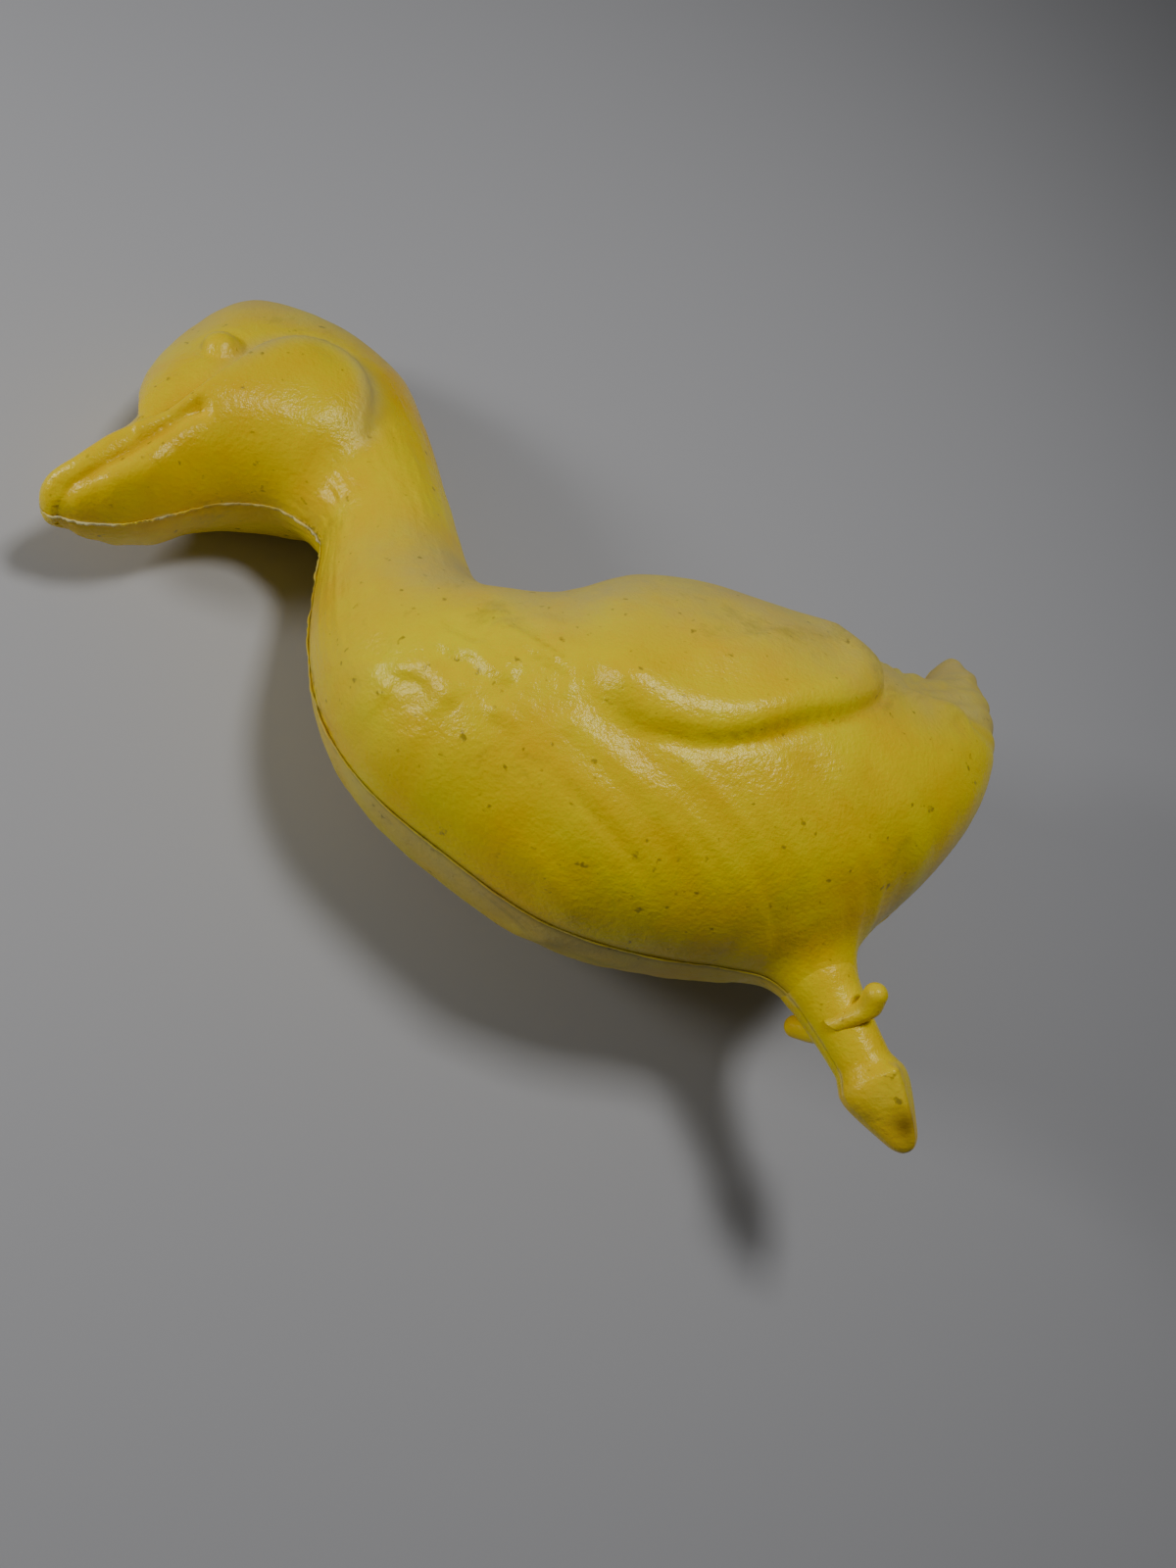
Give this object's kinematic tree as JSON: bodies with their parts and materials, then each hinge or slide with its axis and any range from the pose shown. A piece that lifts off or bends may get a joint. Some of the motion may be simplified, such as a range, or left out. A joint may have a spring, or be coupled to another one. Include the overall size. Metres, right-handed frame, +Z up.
{
  "type": "rubber duck",
  "caption": "Hollow moulded soft-rubber duck prop that lies on its side, with a springy neck and leg and a reed squeaker behind a vent in its flank.",
  "frame": {"origin": "middle of the duck's bounding box, on the surface it lies on", "axes": "+X from bill to tail, +Y from belly to back, +Z up through the duck's left side, which is uppermost"},
  "size_m": [0.2046, 0.177, 0.0776],
  "materials": {
    "yellow_rubber": "semi-gloss moulded soft rubber, dusty and faded on the back",
    "squeaker_plastic": "satin moulded",
    "reed_film": "thin film"
  },
  "bodies": {
    "body": {"body_skin_left": "yellow_rubber", "body_skin_right": "yellow_rubber", "squeaker_barrel": "squeaker_plastic", "squeaker_grille": "squeaker_plastic", "reed_block": "squeaker_plastic", "reed_wedge": "squeaker_plastic"},
    "head": {"head_skin_left": "yellow_rubber", "head_skin_right": "yellow_rubber"},
    "leg": {"leg_left": "yellow_rubber", "leg_right": "yellow_rubber"},
    "reed": {"squeaker_reed": "reed_film"}
  },
  "joints": [
    {"name": "neck_bend", "type": "hinge", "parent": "body", "child": "head", "pos_m": [-0.03489, 0.02591, 0.02546], "axis": [-0.0996, 0.1668, 0.9809], "range_deg": [-20, 20], "stiffness_Nm_per_rad": 0.4},
    {"name": "leg_bend", "type": "hinge", "parent": "body", "child": "leg", "pos_m": [0.05267, -0.05494, 0.0481], "axis": [-0.0996, 0.1668, 0.9809], "range_deg": [-25, 25], "stiffness_Nm_per_rad": 0.05},
    {"name": "reed_flutter", "type": "hinge", "parent": "body", "child": "reed", "pos_m": [0.0326, -0.04193, 0.01412], "axis": [0.9949, 0, 0.1011], "range_deg": [0, 2.5], "stiffness_Nm_per_rad": 0.00002}
  ]
}
